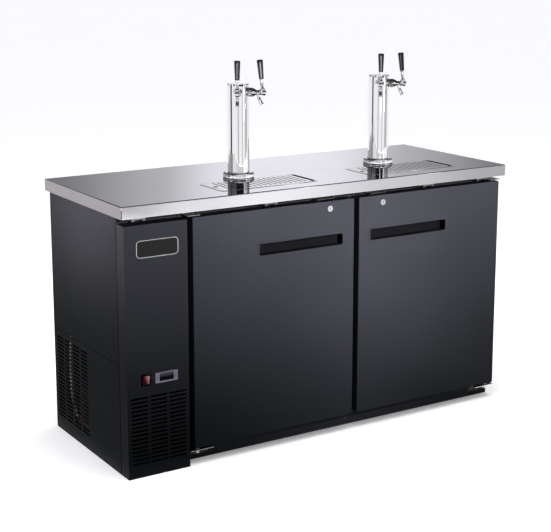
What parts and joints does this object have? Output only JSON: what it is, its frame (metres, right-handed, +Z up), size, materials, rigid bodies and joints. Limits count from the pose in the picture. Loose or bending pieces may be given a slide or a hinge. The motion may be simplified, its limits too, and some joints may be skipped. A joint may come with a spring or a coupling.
{
  "type": "kegerator",
  "caption": "Low black two-door beer cooler with a side machine bay, polished worktop, drip trays and tap towers.",
  "frame": {"origin": "on the floor, under the middle of the worktop", "axes": "+Z up, +X to the right seen from the front, +Y to the rear; the doors face -Y"},
  "size_m": [1.537, 0.604, 1.2881],
  "materials": {
    "galvanised_steel": "bright galvanised",
    "black_painted_steel": "satin black powder coat",
    "insulating_foam": "polyurethane foam",
    "stainless_liner": "brushed",
    "brushed_plate": "brushed, blank",
    "black_plastic": "fine grain",
    "red_plastic": "translucent red",
    "grey_plastic": "satin",
    "dark_window": "smoked",
    "key_plastic": "satin",
    "black_enamel": "gloss enamel",
    "rubber": "soft",
    "fan_plastic": "satin",
    "aluminium_fins": "bare",
    "polished_stainless": "mirror polished stainless",
    "board": "plywood",
    "dark_screws": "black zinc",
    "lock_metal": "polished",
    "tower_chrome": "polished stainless and chrome",
    "knob_plastic": "moulded"
  },
  "bodies": {
    "cabinet": {"chassis_pan": "galvanised_steel", "left_side_panel": "black_painted_steel", "side_vent_panel": "black_painted_steel", "right_side_panel": "black_painted_steel", "rear_panel": "black_painted_steel", "cabinet_insulation": "insulating_foam", "front_frame": "black_painted_steel", "liner_walls": "stainless_liner", "liner_floor": "stainless_liner", "front_louvre_cover": "black_painted_steel", "nameplate": "brushed_plate", "switch_bezel": "black_plastic", "controller_case": "grey_plastic", "controller_window": "dark_window", "compressor": "black_enamel", "compressor_feet": "rubber", "condenser_coil": "black_enamel", "fan_shroud": "black_plastic", "fan_motors": "black_plastic", "evaporator_case": "stainless_liner", "evaporator_coil": "aluminium_fins", "worktop_skin": "polished_stainless", "worktop_core": "board", "worktop_brackets": "galvanised_steel", "drip_pans": "polished_stainless", "hinge_brackets": "galvanised_steel", "lock_strikes": "galvanised_steel", "screws": "dark_screws", "cord_gland": "black_plastic", "tower_columns": "tower_chrome", "tower_caps": "tower_chrome", "tower_flanges": "tower_chrome", "tap_bodies": "tower_chrome"},
    "door_left": {"door_skin_left": "black_painted_steel", "door_core_left": "insulating_foam", "door_liner_left": "stainless_liner", "door_gasket_left": "rubber", "door_pull_left": "black_plastic"},
    "door_right": {"door_skin_right": "black_painted_steel", "door_core_right": "insulating_foam", "door_liner_right": "stainless_liner", "door_gasket_right": "rubber", "door_pull_right": "black_plastic"},
    "lock_left": {"door_lock_left": "lock_metal"},
    "lock_right": {"door_lock_right": "lock_metal"},
    "rocker": {"rocker_switch": "red_plastic"},
    "key_left": {"controller_key_left": "key_plastic"},
    "key_right": {"controller_key_right": "key_plastic"},
    "condenser_fan": {"condenser_fan": "fan_plastic"},
    "evaporator_fan": {"evaporator_fan": "fan_plastic"},
    "grid_left": {"drip_grid_left": "polished_stainless"},
    "grid_right": {"drip_grid_right": "polished_stainless"},
    "tap_handle_1": {"tap_lever_1": "tower_chrome", "tap_knob_1": "knob_plastic"},
    "tap_handle_2": {"tap_lever_2": "tower_chrome", "tap_knob_2": "knob_plastic"},
    "tap_handle_3": {"tap_lever_3": "tower_chrome", "tap_knob_3": "knob_plastic"},
    "tap_handle_4": {"tap_lever_4": "tower_chrome", "tap_knob_4": "knob_plastic"}
  },
  "joints": [
    {"name": "left_door_swing", "type": "hinge", "parent": "cabinet", "child": "door_left", "pos_m": [-0.4998, -0.2675, 0.44], "axis": [0, 0, -1], "range_deg": [0, 115]},
    {"name": "right_door_swing", "type": "hinge", "parent": "cabinet", "child": "door_right", "pos_m": [0.7288, -0.2675, 0.44], "axis": [0, 0, 1], "range_deg": [0, 115]},
    {"name": "left_lock_turn", "type": "hinge", "parent": "door_left", "child": "lock_left", "pos_m": [0.0042, -0.2915, 0.798], "axis": [0, 1, 0], "range_deg": [0, 90]},
    {"name": "right_lock_turn", "type": "hinge", "parent": "door_right", "child": "lock_right", "pos_m": [0.2238, -0.2915, 0.798], "axis": [0, 1, 0], "range_deg": [0, 90]},
    {"name": "rocker_tip", "type": "hinge", "parent": "cabinet", "child": "rocker", "pos_m": [-0.6913, -0.286, 0.3207], "axis": [1, 0, 0], "range_deg": [-20, 0]},
    {"name": "left_key_press", "type": "slide", "parent": "cabinet", "child": "key_left", "axis": [0, 1, 0], "range_m": [0, 0.0008], "stiffness_N_per_m": 400, "springref_m": -0.0005},
    {"name": "right_key_press", "type": "slide", "parent": "cabinet", "child": "key_right", "axis": [0, 1, 0], "range_m": [0, 0.0008], "stiffness_N_per_m": 400, "springref_m": -0.0005},
    {"name": "condenser_fan_spin", "type": "hinge", "parent": "cabinet", "child": "condenser_fan", "pos_m": [-0.64725, -0.1416, 0.165], "axis": [0, 1, 0], "continuous": true},
    {"name": "evaporator_fan_spin", "type": "hinge", "parent": "cabinet", "child": "evaporator_fan", "pos_m": [-0.4185, 0.04, 0.655], "axis": [1, 0, 0], "continuous": true},
    {"name": "left_grid_lift", "type": "slide", "parent": "cabinet", "child": "grid_left", "axis": [0, 0, 1], "range_m": [0, 0.06]},
    {"name": "right_grid_lift", "type": "slide", "parent": "cabinet", "child": "grid_right", "axis": [0, 0, 1], "range_m": [0, 0.06]},
    {"name": "tap_1_pull", "type": "hinge", "parent": "cabinet", "child": "tap_handle_1", "pos_m": [-0.23625, -0.09202, 1.1885], "axis": [0.848, -0.5299, 0], "range_deg": [0, 40]},
    {"name": "tap_2_pull", "type": "hinge", "parent": "cabinet", "child": "tap_handle_2", "pos_m": [-0.13875, -0.09202, 1.1885], "axis": [0.848, 0.5299, 0], "range_deg": [0, 40]},
    {"name": "tap_3_pull", "type": "hinge", "parent": "cabinet", "child": "tap_handle_3", "pos_m": [0.35575, -0.09202, 1.1885], "axis": [0.848, -0.5299, 0], "range_deg": [0, 40]},
    {"name": "tap_4_pull", "type": "hinge", "parent": "cabinet", "child": "tap_handle_4", "pos_m": [0.45325, -0.09202, 1.1885], "axis": [0.848, 0.5299, 0], "range_deg": [0, 40]}
  ]
}
